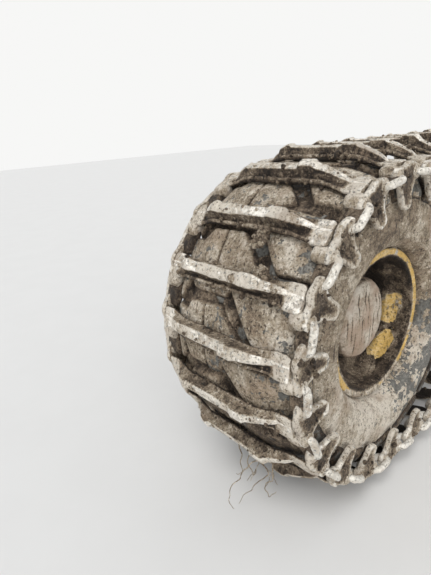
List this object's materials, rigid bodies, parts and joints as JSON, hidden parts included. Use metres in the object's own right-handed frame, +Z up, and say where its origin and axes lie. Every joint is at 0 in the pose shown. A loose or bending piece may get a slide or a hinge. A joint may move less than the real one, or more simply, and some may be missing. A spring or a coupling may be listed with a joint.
{
  "type": "tracked bogie of a forestry harvester",
  "caption": "Wheeled bogie with a steel band track: gear case, swing joint, lugged tyres on dished rims, and a closed loop of grouser bars and chain links.",
  "frame": {"origin": "centre of the axle's inboard bolting face, on the bogie's swing axis", "axes": "+X along the bogie from the front wheel to the rear wheel, +Y inboard to the machine, out of the bolting face, +Z up"},
  "size_m": [3.1805, 1.238, 1.6248],
  "materials": {
    "machine_paint": "dusty satin",
    "wheel_paint": "worn and muddy",
    "cast_steel": "caked with dried mud",
    "steel": "dull",
    "track_steel": "worn steel under dried mud",
    "tyre": "dusty rubber"
  },
  "bodies": {
    "axle": {"axle_flange": "machine_paint", "axle_tube": "machine_paint", "drive_shaft": "steel"},
    "bogie": {"bogie_case": "machine_paint", "swing_housing": "machine_paint", "front_side_cover": "machine_paint", "rear_side_cover": "machine_paint", "top_cover": "machine_paint", "belly_guard": "machine_paint", "front_spindle": "machine_paint", "rear_spindle": "machine_paint", "track": "track_steel"},
    "front_wheel": {"front_tyre": "tyre", "front_rim": "wheel_paint", "front_disc": "wheel_paint", "front_hub": "cast_steel", "front_hub_cover": "cast_steel", "front_nuts": "steel"},
    "rear_wheel": {"rear_tyre": "tyre", "rear_rim": "wheel_paint", "rear_disc": "wheel_paint", "rear_hub": "cast_steel", "rear_hub_cover": "cast_steel", "rear_nuts": "steel"}
  },
  "joints": [
    {"name": "bogie_swing", "type": "hinge", "parent": "axle", "child": "bogie", "pos_m": [0, 0, 0], "axis": [0, 1, 0], "range_deg": [-15, 15]},
    {"name": "front_wheel_spin", "type": "hinge", "parent": "bogie", "child": "front_wheel", "pos_m": [-0.78, -0.8, 0], "axis": [0, 1, 0], "continuous": true},
    {"name": "rear_wheel_spin", "type": "hinge", "parent": "bogie", "child": "rear_wheel", "pos_m": [0.78, -0.8, 0], "axis": [0, 1, 0], "continuous": true}
  ]
}
